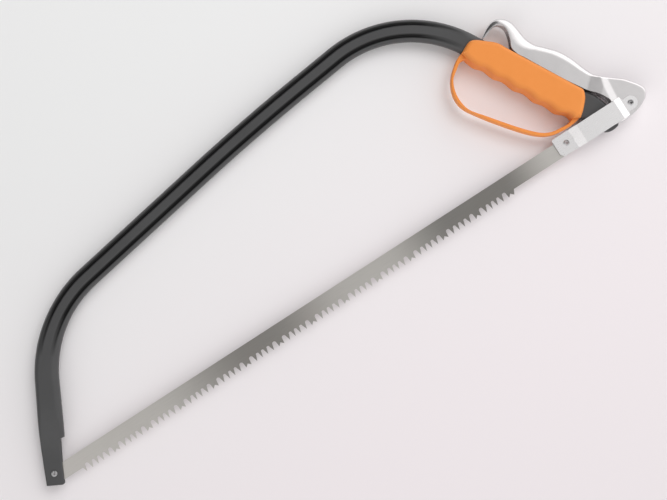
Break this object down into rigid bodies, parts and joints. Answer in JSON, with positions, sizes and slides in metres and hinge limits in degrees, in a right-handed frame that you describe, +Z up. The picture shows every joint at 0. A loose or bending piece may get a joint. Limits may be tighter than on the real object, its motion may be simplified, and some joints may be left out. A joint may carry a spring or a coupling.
{
  "type": "bow saw",
  "caption": "Tubular bow saw for green wood and logs, with a moulded grip and knuckle guard, an over-centre tension lever and a raker-tooth blade.",
  "frame": {"origin": "middle of the underside as the saw lies flat on its side", "axes": "+X along the blade from the toe to the lever end, +Y from the blade to the bow, +Z up out of the surface the saw lies on, across the saw's thickness"},
  "size_m": [0.7146, 0.2234, 0.027],
  "materials": {
    "frame_paint": "semi-gloss black",
    "grip_plastic": "fine moulded texture",
    "blade_steel": "ground and lightly oiled",
    "link_steel": "bright satin",
    "lever_chrome": "bright plated",
    "pin_steel": "plain"
  },
  "bodies": {
    "frame": {"bow_frame": "frame_paint", "grip": "grip_plastic", "toe_pin": "pin_steel", "pivot_rivet": "pin_steel", "pivot_sleeve": "pin_steel", "pivot_washer_front": "pin_steel", "pivot_washer_rear": "pin_steel"},
    "lever": {"tension_lever": "lever_chrome"},
    "link": {"link_plate_front": "link_steel", "link_plate_rear": "link_steel", "link_pin": "pin_steel", "link_spacer": "pin_steel", "blade_pin": "pin_steel"},
    "blade": {"saw_blade": "blade_steel"}
  },
  "joints": [
    {"name": "lever_pivot", "type": "hinge", "parent": "frame", "child": "lever", "pos_m": [0.30881, -0.09923, 0.0135], "axis": [0, 0, 1], "range_deg": [-60, 0]},
    {"name": "link_pivot", "type": "hinge", "parent": "lever", "child": "link", "pos_m": [0.33631, -0.09703, 0.0135], "axis": [0, 0, 1], "range_deg": [0, 90]},
    {"name": "blade_swing", "type": "hinge", "parent": "frame", "child": "blade", "pos_m": [-0.34419, -0.09623, 0.0135], "axis": [0, 0, 1], "range_deg": [-6.5, 0]}
  ],
  "couplings": [
    {"joint": "link_pivot", "follows": "lever_pivot", "ratio": -1.4775},
    {"joint": "blade_swing", "follows": "lever_pivot", "ratio": 0.095}
  ]
}
